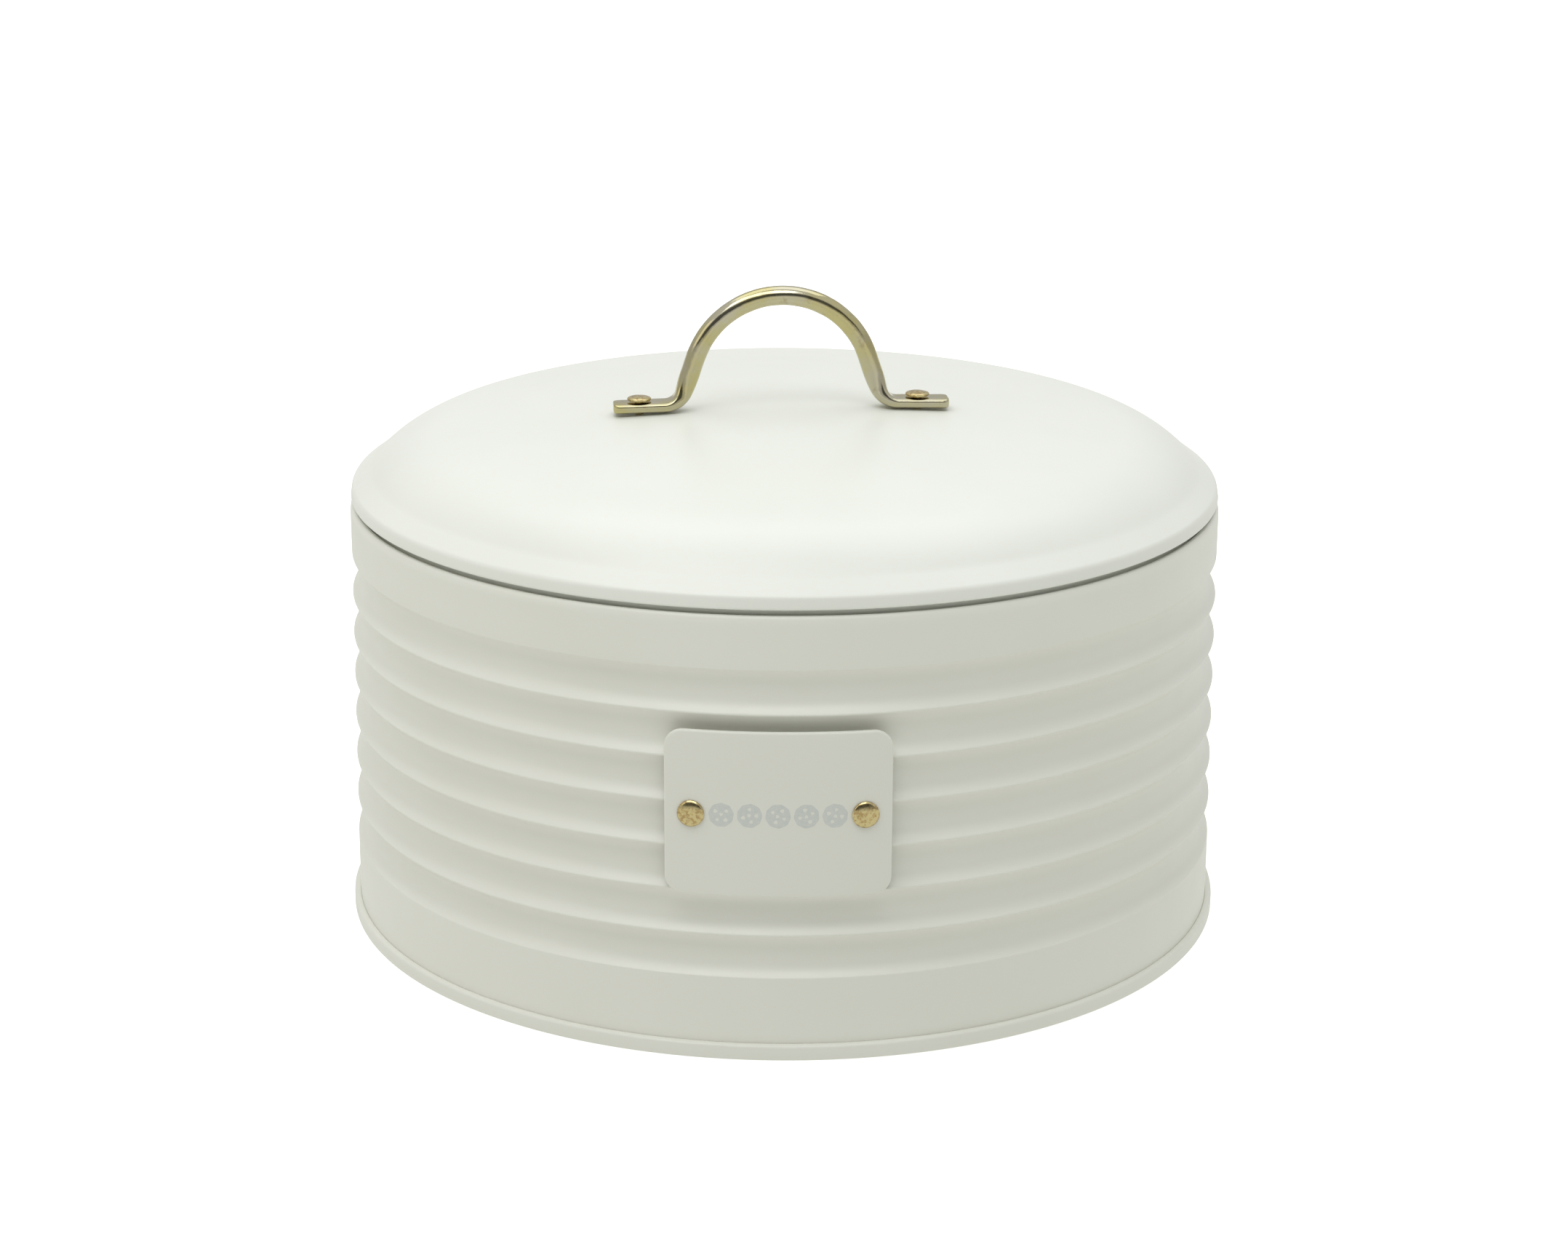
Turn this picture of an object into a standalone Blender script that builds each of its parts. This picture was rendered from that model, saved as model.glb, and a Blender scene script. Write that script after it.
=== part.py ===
"""Cookie tin: a round sheet-steel tin with a fluted wall and a riveted label plate,
and a domed lift-off lid with a wire handle.

Metres, +Z up. The origin is on the surface that the tin stands on, at the middle of the
tin. The label plate faces -Y. The lid lifts straight up along +Z.
"""

import math

import bmesh
import bpy
from mathutils import Matrix, Vector

MM = 0.001
DEG = math.pi / 180.0

# Sheet metal and fits
SHEET = 0.4 * MM            # thickness of the wall, the base, the lid and the plug ring
GAP = 0.3 * MM              # clearance kept between pieces that touch
ROUND_STEPS = 48            # flats around the large turned pieces
SMALL_STEPS = 16            # flats around rivets, washers and their holes
BEND_STEPS = 2              # flats across a small bend of the sheet
EDGE_STEPS = 3              # flats across a rounded edge that shows
MERGE = 0.01 * MM           # vertices closer than this are made one
SHARP = 40.0 * DEG          # edges sharper than this stay crisp

# Wall
MOUTH_RADIUS = 109.8 * MM   # outside of the plain band under the mouth
FOOT_RADIUS = 110.5 * MM    # outside of the plain band above the seam; crests lie in between
LIP_TOP = 107.4 * MM        # top of the curled mouth
LIP_CURL = 1.1 * MM         # outside radius of the mouth's curl
LIP_FALL = 2.2 * MM         # height over which the curl runs out into the plain band
LIP_START = 240.0           # degrees, where the curl's inner end is
LIP_STEPS = 4
FLUTE_TOP = 94.9 * MM       # lower edge of the plain band under the mouth
FLUTE_PITCH = 10.71 * MM
FLUTE_COUNT = 7
FLUTE_DEPTH = 2.2 * MM
FLUTE_POWER = 2.8           # how flat the middle of a flute is
FLUTE_STEPS = 3
FLANGE_REACH = 0.8 * MM     # how far the wall's foot turns out into the base's seam
FLANGE_TOP = 1.5 * MM
FLANGE_BEND = 0.5 * MM

# Base with its seam
SEAM_RADIUS = 112.1 * MM    # outside of the seam
SEAM_TOP = 3.8 * MM
SEAM_ROUND = 0.8 * MM       # at the seam's upper edge
SEAM_FOOT_ROUND = 0.6 * MM  # at both lower edges
PANEL_HEIGHT = 4.6 * MM     # underside of the recessed panel
PANEL_ROUND = 0.8 * MM
PANEL_STEP_RADIUS = 95.0 * MM
PANEL_STEP_WIDTH = 2.0 * MM
PANEL_STEP_RISE = 0.8 * MM

# Lid
DOME_APEX = 129.6 * MM
CROWN_RADIUS = 735.0 * MM   # radius of the flat crown
CROWN_EDGE = 86.0 * MM      # where the crown turns into the shoulder
SHOULDER_RADIUS = 30.0 * MM
SHOULDER_EDGE = 103.5 * MM  # where the shoulder meets the crease
SHOULDER_STEPS = 5
CROWN_STATIONS = (0.0, 0.3, 0.55, 0.8)      # shares of the crown's edge radius
CREASE_WIDTH = 1.6 * MM
CREASE_DROP = 1.4 * MM
CREASE_MID_DROP = 0.58      # share of the drop that is done half way across
RIM_RADIUS = 109.55 * MM    # widest point of the lid, just above its lower edge
RIM_TOP_SLOPE = 36.0 * DEG
RIM_SIDE_SLOPE = 81.0 * DEG
RIM_ROUND = 2.0 * MM        # between the rim's top and its side
HEM_BOTTOM = 108.75 * MM
HEM_ROUND = 0.6 * MM
HEM_INNER = 108.0 * MM

# Plug ring inside the lid
PLUG_RADIUS = 107.1 * MM
PLUG_BOTTOM = 97.2 * MM
PLUG_FLANGE_EDGE = 108.4 * MM
PLUG_FLANGE_BEND = 0.6 * MM
PLUG_CHAMFER = 1.2 * MM

# Handle, in the lid's own frame: S runs along the handle
LID_TURN = 5.45 * DEG       # the lid sits turned by this much on the tin
HANDLE_OFFSET = (-1.2 * MM, -3.0 * MM)
WIRE = 4.9 * MM
ARCH_RADIUS = 22.8 * MM     # centre line of the arch
ARCH_HEIGHT = 135.4 * MM    # height of the arch's centre
ARCH_STEPS = 9
LEG_MID = 0.4               # share of the leg at which it gets one more section
LEG_FLARE = 19.0 * DEG
BEND_RADIUS = 5.2 * MM
BEND_SECTIONS = 5
FOOT_BOTTOM = 129.4 * MM
FOOT_THICKNESS = 2.5 * MM
FOOT_WIDTH = 7.2 * MM
FOOT_END = 42.3 * MM        # half of the handle's length
FOOT_CORNER = 1.6 * MM
FOOT_STATIONS = (2.2, 1.0, 0.6, 0.25, 0.0)  # back from the foot's end, in corner radii
WIRE_BEVELS = 4
PRESS_START = 139.5 * MM    # height on the leg where the wire starts to flatten
PRESS_MID = 134.5 * MM
PRESS_MID_THICKNESS = 4.2 * MM
PRESS_MID_WIDTH = 5.3 * MM
RIVET_SPACING = 70.25 * MM
RIVET_SHIFT = -0.65 * MM     # both holes sit this far off the middle of the handle

# Rivets and washers
SHANK_RADIUS = 1.6 * MM
HANDLE_HEAD_RADIUS = 3.0 * MM
LABEL_HEAD_RADIUS = 3.15 * MM
HEAD_RIM = 0.4 * MM
HEAD_CROWN = 1.0 * MM
HEAD_STATIONS = (0.45, 0.8) # shares of the head's radius
TAIL_RADIUS = 2.6 * MM
TAIL_HEIGHT = 1.2 * MM
TAIL_TAPER = 0.85
WASHER_RADIUS = 4.5 * MM
WASHER_THICKNESS = 0.8 * MM
DRILL_BELOW = 8.0 * MM      # how far the drill for a rivet's hole reaches under its head
DRILL_ABOVE = 2.0 * MM

# Label plate
PLATE_TURN = -0.6 * DEG
PLATE_WIDTH = 52.4 * MM
PLATE_BOTTOM = 40.5 * MM
PLATE_TOP = 80.55 * MM
PLATE_THICKNESS = 0.9 * MM
PLATE_CORNER = 4.4 * MM
PLATE_STEPS = 18
LABEL_RIVET_SPACING = 39.4 * MM
CORNER_STEPS = 5
PLATE_MARGIN = 2.0 * MM     # left around the plate's sheet before its outline is trimmed
PLATE_SPREAD_MARGIN = 2.0 * DEG
TRIM_REACH = 6.0 * MM       # how far the trimming outline reaches in front of and behind the skin

# Finishes: colour, metallic, roughness
PAINT = ((0.62, 0.63, 0.56, 1.0), 0.0, 0.42)
PLATE_PAINT = ((0.60, 0.60, 0.54, 1.0), 0.0, 0.45)
YELLOW_ZINC = ((0.50, 0.42, 0.20, 1.0), 1.0, 0.30)
RIVET_BRASS = ((0.55, 0.40, 0.20, 1.0), 1.0, 0.38)
BRIGHT_STEEL = ((0.60, 0.60, 0.58, 1.0), 1.0, 0.35)


# ---------------------------------------------------------------- scene helpers

def clear_scene():
    for old in list(bpy.data.objects):
        bpy.data.objects.remove(old, do_unlink=True)


def new_collection(name):
    made = bpy.data.collections.new(name)
    bpy.context.scene.collection.children.link(made)
    return made


def new_material(name, finish):
    colour, metallic, roughness = finish
    material = bpy.data.materials.new(name)
    material.use_nodes = True
    shader = material.node_tree.nodes["Principled BSDF"]
    shader.inputs["Base Color"].default_value = colour
    shader.inputs["Metallic"].default_value = metallic
    shader.inputs["Roughness"].default_value = roughness
    material.diffuse_color = colour
    return material


def add_object(name, mesh, collection, finish=None):
    made = bpy.data.objects.new(name, mesh)
    collection.objects.link(made)
    if finish:
        mesh.materials.append(new_material(name, finish))
    return made


def as_cutter(piece):
    piece.display_type = "WIRE"
    piece.hide_render = True
    return piece


def cut(piece, cutter, operation="DIFFERENCE"):
    boolean = piece.modifiers.new("cut_" + cutter.name, "BOOLEAN")
    boolean.operation = operation
    boolean.solver = "EXACT"
    boolean.object = cutter


# ---------------------------------------------------------------- profile helpers

def arc(centre, radius, start, end, steps):
    """Points on an arc in the (radius, height) plane; angles in degrees from +radius."""
    points = []
    for i in range(steps + 1):
        angle = (start + (end - start) * i / steps) * DEG
        points.append((centre[0] + radius * math.cos(angle), centre[1] + radius * math.sin(angle)))
    return points


def profile_mesh(name, points):
    """An open chain of edges in the XZ plane."""
    mesh = bpy.data.meshes.new(name)
    vertices = [(r, 0.0, z) for r, z in points]
    edges = [(i, i + 1) for i in range(len(points) - 1)]
    mesh.from_pydata(vertices, edges, [])
    return mesh


def turned(name, points, collection, finish=None, steps=ROUND_STEPS, angle=math.tau):
    """A profile that runs down its outer side, turned about Z."""
    piece = add_object(name, profile_mesh(name, points), collection, finish)
    screw = piece.modifiers.new("turn", "SCREW")
    screw.axis = "Z"
    screw.angle = angle
    screw.steps = steps
    screw.render_steps = steps
    screw.use_merge_vertices = True
    screw.merge_threshold = MERGE
    screw.use_smooth_shade = True
    return piece


def thicken(piece, thickness):
    """Grow the sheet from its outer skin to the inside."""
    solidify = piece.modifiers.new("sheet", "SOLIDIFY")
    solidify.thickness = thickness
    solidify.offset = -1.0
    solidify.use_even_offset = True
    return piece


# ---------------------------------------------------------------- tin

def wall_radius(height):
    """The wall opens slightly towards the foot, over the height of its flutes."""
    share = (FLUTE_TOP - height) / (FLUTE_COUNT * FLUTE_PITCH)
    return MOUTH_RADIUS + (FOOT_RADIUS - MOUTH_RADIUS) * min(max(share, 0.0), 1.0)


def flute_points():
    """Hollows, flattest in the middle, from one crest to the next, down from the plain band."""
    half = FLUTE_PITCH / 2.0
    points = []
    for i in range(FLUTE_COUNT):
        crest = FLUTE_TOP - i * FLUTE_PITCH
        points.append((wall_radius(crest), crest))
        for k in range(1, FLUTE_STEPS):
            share = math.sin((k / FLUTE_STEPS - 0.5) * math.pi)
            height = crest - half * (1.0 + share)
            depth = FLUTE_DEPTH * (1.0 - abs(share) ** FLUTE_POWER)
            points.append((wall_radius(height) - depth, height))
    points.append((FOOT_RADIUS, FLUTE_TOP - FLUTE_COUNT * FLUTE_PITCH))
    return points


def body_wall_profile():
    curl_centre = (MOUTH_RADIUS - LIP_CURL, LIP_TOP - LIP_CURL)
    points = arc(curl_centre, LIP_CURL, LIP_START, 90.0, LIP_STEPS)
    for across, down in arc((0.0, 0.0), 1.0, 90.0, 0.0, EDGE_STEPS)[1:]:
        points.append((curl_centre[0] + LIP_CURL * across, LIP_TOP - LIP_FALL * (1.0 - down)))
    points += flute_points()
    bend_centre = (FOOT_RADIUS + FLANGE_BEND, FLANGE_TOP + FLANGE_BEND)
    points += arc(bend_centre, FLANGE_BEND, 180.0, 270.0, BEND_STEPS)
    points.append((FOOT_RADIUS + FLANGE_REACH, FLANGE_TOP))
    return points


def base_profile():
    """The seam's lip, its outside and its foot, then the recessed panel's underside."""
    chuck = FOOT_RADIUS - SHEET - GAP - SHEET
    lip_centre = (SEAM_RADIUS - SEAM_ROUND, SEAM_TOP - SEAM_ROUND)
    outer_centre = (SEAM_RADIUS - SEAM_FOOT_ROUND, SEAM_FOOT_ROUND)
    inner_centre = (chuck + SEAM_FOOT_ROUND, SEAM_FOOT_ROUND)
    points = [(FOOT_RADIUS + GAP, SEAM_TOP)]
    points += arc(lip_centre, SEAM_ROUND, 90.0, 0.0, EDGE_STEPS)
    points += arc(outer_centre, SEAM_FOOT_ROUND, 0.0, -90.0, BEND_STEPS)
    points += arc(inner_centre, SEAM_FOOT_ROUND, 270.0, 180.0, BEND_STEPS)
    panel_centre = (chuck - PANEL_ROUND, PANEL_HEIGHT - PANEL_ROUND)
    points += arc(panel_centre, PANEL_ROUND, 0.0, 90.0, BEND_STEPS)
    points.append((PANEL_STEP_RADIUS, PANEL_HEIGHT))
    points.append((PANEL_STEP_RADIUS - PANEL_STEP_WIDTH, PANEL_HEIGHT + PANEL_STEP_RISE))
    points.append((0.0, PANEL_HEIGHT + PANEL_STEP_RISE))
    return points


# ---------------------------------------------------------------- lid

def crown_height(radius):
    """Height of the crown's outer skin at a distance from the lid's axis."""
    return DOME_APEX - CROWN_RADIUS + math.sqrt(CROWN_RADIUS ** 2 - radius ** 2)


def lid_dome_profile():
    points = []
    for share in CROWN_STATIONS:
        points.append((CROWN_EDGE * share, crown_height(CROWN_EDGE * share)))
    crown_slope = math.asin(CROWN_EDGE / CROWN_RADIUS)
    shoulder_centre = (
        CROWN_EDGE - SHOULDER_RADIUS * math.sin(crown_slope),
        crown_height(CROWN_EDGE) - SHOULDER_RADIUS * math.cos(crown_slope),
    )
    shoulder_slope = math.asin((SHOULDER_EDGE - shoulder_centre[0]) / SHOULDER_RADIUS)
    points += arc(
        shoulder_centre, SHOULDER_RADIUS,
        90.0 - crown_slope / DEG, 90.0 - shoulder_slope / DEG, SHOULDER_STEPS,
    )
    crease_end = (points[-1][0] + CREASE_WIDTH, points[-1][1] - CREASE_DROP)
    points.append((points[-1][0] + CREASE_WIDTH / 2.0, points[-1][1] - CREASE_DROP * CREASE_MID_DROP))
    points.append(crease_end)
    points += rim_points(crease_end)
    hem_centre = (RIM_RADIUS - HEM_ROUND, HEM_BOTTOM + HEM_ROUND)
    points += arc(hem_centre, HEM_ROUND, 0.0, -90.0, EDGE_STEPS)
    points.append((HEM_INNER, HEM_BOTTOM))
    return points


def rim_points(start):
    """The rounding between the flat fall from the crease and the nearly upright side."""
    widest = Vector((RIM_RADIUS, HEM_BOTTOM + HEM_ROUND))
    out_of_top = Vector((math.sin(RIM_TOP_SLOPE), math.cos(RIM_TOP_SLOPE)))
    out_of_side = Vector((math.sin(RIM_SIDE_SLOPE), math.cos(RIM_SIDE_SLOPE)))
    from_top = out_of_top.dot(start) - RIM_ROUND
    from_side = out_of_side.dot(widest) - RIM_ROUND
    area = out_of_top.x * out_of_side.y - out_of_top.y * out_of_side.x
    centre = (
        (from_top * out_of_side.y - from_side * out_of_top.y) / area,
        (out_of_top.x * from_side - out_of_side.x * from_top) / area,
    )
    return arc(centre, RIM_ROUND, 90.0 - RIM_TOP_SLOPE / DEG, 90.0 - RIM_SIDE_SLOPE / DEG, EDGE_STEPS)


def plug_ring_profile():
    under = HEM_BOTTOM + SHEET + GAP
    bend_centre = (PLUG_RADIUS + PLUG_FLANGE_BEND, under - PLUG_FLANGE_BEND)
    points = [(PLUG_FLANGE_EDGE, under)]
    points += arc(bend_centre, PLUG_FLANGE_BEND, 90.0, 180.0, BEND_STEPS)
    points.append((PLUG_RADIUS, PLUG_BOTTOM + PLUG_CHAMFER))
    points.append((PLUG_RADIUS - PLUG_CHAMFER, PLUG_BOTTOM))
    return points


# ---------------------------------------------------------------- handle

def handle_route():
    """Half of the handle's centre line, from the top of the arch to the foot's end."""
    route = []
    lowest = LEG_FLARE / DEG
    for s, z in arc((0.0, ARCH_HEIGHT), ARCH_RADIUS, 90.0, lowest, ARCH_STEPS):
        route.append(Vector((s, z)))
    foot_height = FOOT_BOTTOM + FOOT_THICKNESS / 2.0
    leg = Vector((math.sin(LEG_FLARE), -math.cos(LEG_FLARE)))
    corner = route[-1] + leg * ((route[-1].y - foot_height) / math.cos(LEG_FLARE))
    turn = math.pi / 2.0 - LEG_FLARE
    tangent = BEND_RADIUS * math.tan(turn / 2.0)
    bend_start = corner - leg * tangent
    route.append(route[-1].lerp(bend_start, LEG_MID))
    centre = Vector((corner.x + tangent, foot_height + BEND_RADIUS))
    start_angle = 180.0 + LEG_FLARE / DEG
    for s, z in arc(tuple(centre), BEND_RADIUS, start_angle, 270.0, BEND_SECTIONS):
        route.append(Vector((s, z)))
    for back in FOOT_STATIONS:
        route.append(Vector((FOOT_END - FOOT_CORNER * back, foot_height)))
    return route


def section(spot):
    """Thickness and width of the wire at a spot on its centre line."""
    foot_height = FOOT_BOTTOM + FOOT_THICKNESS / 2.0
    if spot.y >= PRESS_START:
        return WIRE, WIRE
    if spot.y >= PRESS_MID:
        share = (PRESS_START - spot.y) / (PRESS_START - PRESS_MID)
        thickness = WIRE + (PRESS_MID_THICKNESS - WIRE) * share
        return thickness, WIRE + (PRESS_MID_WIDTH - WIRE) * share
    share = (PRESS_MID - spot.y) / (PRESS_MID - foot_height)
    thickness = PRESS_MID_THICKNESS + (FOOT_THICKNESS - PRESS_MID_THICKNESS) * share
    width = PRESS_MID_WIDTH + (FOOT_WIDTH - PRESS_MID_WIDTH) * share
    into_corner = min(max(FOOT_CORNER - (FOOT_END - abs(spot.x)), 0.0), FOOT_CORNER)
    trim = FOOT_CORNER - math.sqrt(FOOT_CORNER ** 2 - into_corner ** 2)
    return thickness, width - 2.0 * trim


def wire_mesh(route):
    """A round wire along the route, as one closed mesh."""
    curve = bpy.data.curves.new("handle_wire", "CURVE")
    curve.dimensions = "3D"
    curve.bevel_depth = WIRE / 2.0
    curve.bevel_resolution = WIRE_BEVELS
    curve.use_fill_caps = True
    spline = curve.splines.new("POLY")
    spline.points.add(len(route) - 1)
    for point, spot in zip(spline.points, route):
        point.co = (spot.x, 0.0, spot.y, 1.0)
    guide = bpy.data.objects.new("handle_wire", curve)
    bpy.context.scene.collection.objects.link(guide)
    evaluated = guide.evaluated_get(bpy.context.evaluated_depsgraph_get())
    mesh = bpy.data.meshes.new_from_object(evaluated)
    bpy.data.objects.remove(guide, do_unlink=True)
    shape = bmesh.new()
    shape.from_mesh(mesh)
    bmesh.ops.remove_doubles(shape, verts=shape.verts, dist=MERGE)
    bmesh.ops.recalc_face_normals(shape, faces=shape.faces)
    shape.to_mesh(mesh)
    shape.free()
    return mesh


def press_feet(mesh, route):
    """Flatten the round wire to the section that each spot of the route has."""
    normals = []
    for i, spot in enumerate(route):
        before = route[max(i - 1, 0)]
        after = route[min(i + 1, len(route) - 1)]
        along = (after - before).normalized()
        normals.append(Vector((-along.y, along.x)))
    for vertex in mesh.vertices:
        flat = Vector((vertex.co.x, vertex.co.z))
        distance = [(flat - spot).length for spot in route]
        i = distance.index(min(distance))
        thickness, width = section(route[i])
        spot = route[i] + normals[i] * ((flat - route[i]).dot(normals[i]) * thickness / WIRE)
        vertex.co = (spot.x, vertex.co.y * width / WIRE, spot.y)


def add_handle(collection, lid_frame):
    half = handle_route()
    other = [Vector((-spot.x, spot.y)) for spot in reversed(half[1:])]
    route = other + half
    mesh = wire_mesh(route)
    mesh.name = "handle"
    press_feet(mesh, route)
    mesh.shade_smooth()
    mesh.set_sharp_from_angle(angle=SHARP)
    handle = add_object("handle", mesh, collection, YELLOW_ZINC)
    handle.matrix_world = lid_frame @ handle_frame()
    return handle


def handle_frame():
    return Matrix.Translation((HANDLE_OFFSET[0], HANDLE_OFFSET[1], 0.0))


# ---------------------------------------------------------------- rivets and washers

def rivet_profile(head_radius, grip):
    """Head above height 0, shank down through the grip, and the set tail below it."""
    points = [(0.0, HEAD_RIM + HEAD_CROWN)]
    for share in HEAD_STATIONS:
        rise = HEAD_CROWN * math.sqrt(1.0 - share ** 2)
        points.append((head_radius * share, HEAD_RIM + rise))
    points += [(head_radius, HEAD_RIM), (head_radius, 0.0), (SHANK_RADIUS, 0.0)]
    points += [(SHANK_RADIUS, -grip), (TAIL_RADIUS, -grip)]
    points += [(TAIL_RADIUS * TAIL_TAPER, -grip - TAIL_HEIGHT), (0.0, -grip - TAIL_HEIGHT)]
    return points


def add_rivet(name, head_radius, grip, frame, collection):
    points = rivet_profile(head_radius, grip)
    rivet = turned(name, points, collection, RIVET_BRASS, SMALL_STEPS)
    rivet.matrix_world = frame
    return rivet


def hole_cutter(name, frame, collection):
    """A drill through the pieces that a rivet holds."""
    drill = SHANK_RADIUS + GAP
    points = [(0.0, DRILL_ABOVE), (drill, DRILL_ABOVE), (drill, -DRILL_BELOW), (0.0, -DRILL_BELOW)]
    cutter = as_cutter(turned(name, points, collection, None, SMALL_STEPS))
    cutter.matrix_world = frame
    return cutter


def washer_profile():
    hole = SHANK_RADIUS + GAP
    return [
        (hole, 0.0),
        (WASHER_RADIUS, 0.0),
        (WASHER_RADIUS, -WASHER_THICKNESS),
        (hole, -WASHER_THICKNESS),
        (hole, 0.0),
    ]


# ---------------------------------------------------------------- label plate

def plate_skin():
    """Radius of the plate's outer face; its back stands clear of the crests under it."""
    return wall_radius(PLATE_BOTTOM) + GAP + PLATE_THICKNESS


def plate_sheet(collection):
    """A piece of a cylinder, thickened inwards."""
    skin = plate_skin()
    spread = 2.0 * math.asin(PLATE_WIDTH / 2.0 / skin) + PLATE_SPREAD_MARGIN
    points = [(skin, PLATE_TOP + PLATE_MARGIN), (skin, PLATE_BOTTOM - PLATE_MARGIN)]
    plate = turned("label_plate", points, collection, PLATE_PAINT, PLATE_STEPS, spread)
    plate.rotation_euler.z = -math.pi / 2.0 + PLATE_TURN - spread / 2.0
    thicken(plate, PLATE_THICKNESS)
    return plate


def plate_outline(collection):
    """A rounded rectangle, extruded through the plate to trim its outline."""
    wide = PLATE_WIDTH / 2.0 - PLATE_CORNER
    tall = (PLATE_TOP - PLATE_BOTTOM) / 2.0 - PLATE_CORNER
    outline = []
    for right, up, start in ((1, 1, 0.0), (-1, 1, 90.0), (-1, -1, 180.0), (1, -1, 270.0)):
        outline += arc((wide * right, tall * up), PLATE_CORNER, start, start + 90.0, CORNER_STEPS)
    shape = bmesh.new()
    near = [shape.verts.new((x, -TRIM_REACH, z)) for x, z in outline]
    face = shape.faces.new(near)
    made = bmesh.ops.extrude_face_region(shape, geom=[face])
    far = [item for item in made["geom"] if isinstance(item, bmesh.types.BMVert)]
    bmesh.ops.translate(shape, verts=far, vec=(0.0, 2.0 * TRIM_REACH, 0.0))
    bmesh.ops.recalc_face_normals(shape, faces=shape.faces)
    mesh = bpy.data.meshes.new("plate_outline")
    shape.to_mesh(mesh)
    shape.free()
    cutter = as_cutter(add_object("plate_outline", mesh, collection))
    middle = Matrix.Translation((0.0, -plate_skin(), (PLATE_TOP + PLATE_BOTTOM) / 2.0))
    cutter.matrix_world = Matrix.Rotation(PLATE_TURN, 4, "Z") @ middle
    return cutter


def label_rivet_frame(side):
    """Frame on the plate's face whose Z axis points out of the tin."""
    skin = plate_skin() + GAP
    azimuth = PLATE_TURN + side * math.asin(LABEL_RIVET_SPACING / 2.0 / skin)
    out = Matrix.Translation((0.0, -skin, (PLATE_TOP + PLATE_BOTTOM) / 2.0))
    return Matrix.Rotation(azimuth, 4, "Z") @ out @ Matrix.Rotation(math.pi / 2.0, 4, "X")


# ---------------------------------------------------------------- assembly

def build():
    clear_scene()
    parts = new_collection("cookie_tin")
    cutters = new_collection("cutters")

    wall = thicken(turned("body_wall", body_wall_profile(), parts, PAINT), SHEET)
    thicken(turned("base_panel", base_profile(), parts, PAINT), SHEET)
    dome = thicken(turned("lid_dome", lid_dome_profile(), parts, PAINT), SHEET)
    thicken(turned("lid_plug_ring", plug_ring_profile(), parts, PAINT), SHEET)

    plate = plate_sheet(parts)
    cut(plate, plate_outline(cutters), "INTERSECT")
    label_grip = GAP + plate_skin() - (wall_radius(PLATE_TOP) - FLUTE_DEPTH - SHEET - GAP)
    for side, word in ((-1, "left"), (1, "right")):
        frame = label_rivet_frame(side)
        add_rivet("label_rivet_" + word, LABEL_HEAD_RADIUS, label_grip, frame, parts)
        drill = hole_cutter("label_drill_" + word, frame, cutters)
        cut(plate, drill)
        cut(wall, drill)

    lid_frame = Matrix.Rotation(LID_TURN, 4, "Z")
    handle = add_handle(parts, lid_frame)
    foot_top = FOOT_BOTTOM + FOOT_THICKNESS + GAP
    outermost = RIVET_SPACING / 2.0 - RIVET_SHIFT - HANDLE_OFFSET[0] + WASHER_RADIUS
    washer_top = crown_height(outermost) - SHEET - GAP
    handle_grip = foot_top - (washer_top - WASHER_THICKNESS - GAP)
    for side, word in ((-1, "left"), (1, "right")):
        spot = Matrix.Translation((side * RIVET_SPACING / 2.0 + RIVET_SHIFT, 0.0, 0.0))
        column = lid_frame @ handle_frame() @ spot
        frame = column @ Matrix.Translation((0.0, 0.0, foot_top))
        add_rivet("handle_rivet_" + word, HANDLE_HEAD_RADIUS, handle_grip, frame, parts)
        washer = turned("handle_washer_" + word, washer_profile(), parts, BRIGHT_STEEL, SMALL_STEPS)
        washer.matrix_world = column @ Matrix.Translation((0.0, 0.0, washer_top))
        drill = hole_cutter("handle_drill_" + word, frame, cutters)
        cut(handle, drill)
        cut(dome, drill)


build()
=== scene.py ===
"""Looks of the cookie tin: fine pieces and painted, printed and plated finishes around its CAD frame.

Metres, +Z up, as in the CAD. The tin stands on z = 0 and its label plate faces -Y.
"""

import math

import bmesh
import bpy
from mathutils import Matrix, Vector, noise


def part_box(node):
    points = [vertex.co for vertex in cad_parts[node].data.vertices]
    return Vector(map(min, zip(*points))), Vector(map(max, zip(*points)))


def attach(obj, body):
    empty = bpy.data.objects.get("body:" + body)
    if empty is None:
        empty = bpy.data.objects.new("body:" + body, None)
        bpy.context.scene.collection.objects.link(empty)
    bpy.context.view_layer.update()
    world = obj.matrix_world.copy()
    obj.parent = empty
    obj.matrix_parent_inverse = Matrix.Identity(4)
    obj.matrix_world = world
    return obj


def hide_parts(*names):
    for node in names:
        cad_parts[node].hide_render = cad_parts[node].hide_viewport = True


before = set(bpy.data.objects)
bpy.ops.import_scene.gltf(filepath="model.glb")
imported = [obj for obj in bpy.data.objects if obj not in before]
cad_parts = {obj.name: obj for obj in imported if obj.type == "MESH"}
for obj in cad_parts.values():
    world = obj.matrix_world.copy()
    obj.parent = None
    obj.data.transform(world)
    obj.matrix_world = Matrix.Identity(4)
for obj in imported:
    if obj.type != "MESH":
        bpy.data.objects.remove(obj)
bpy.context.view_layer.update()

MM = 0.001
DEG = math.pi / 180.0

# ---------------------------------------------------------------- sizes read from the frame

def middle_of(node):
    low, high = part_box(node)
    return (low + high) / 2.0


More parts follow.
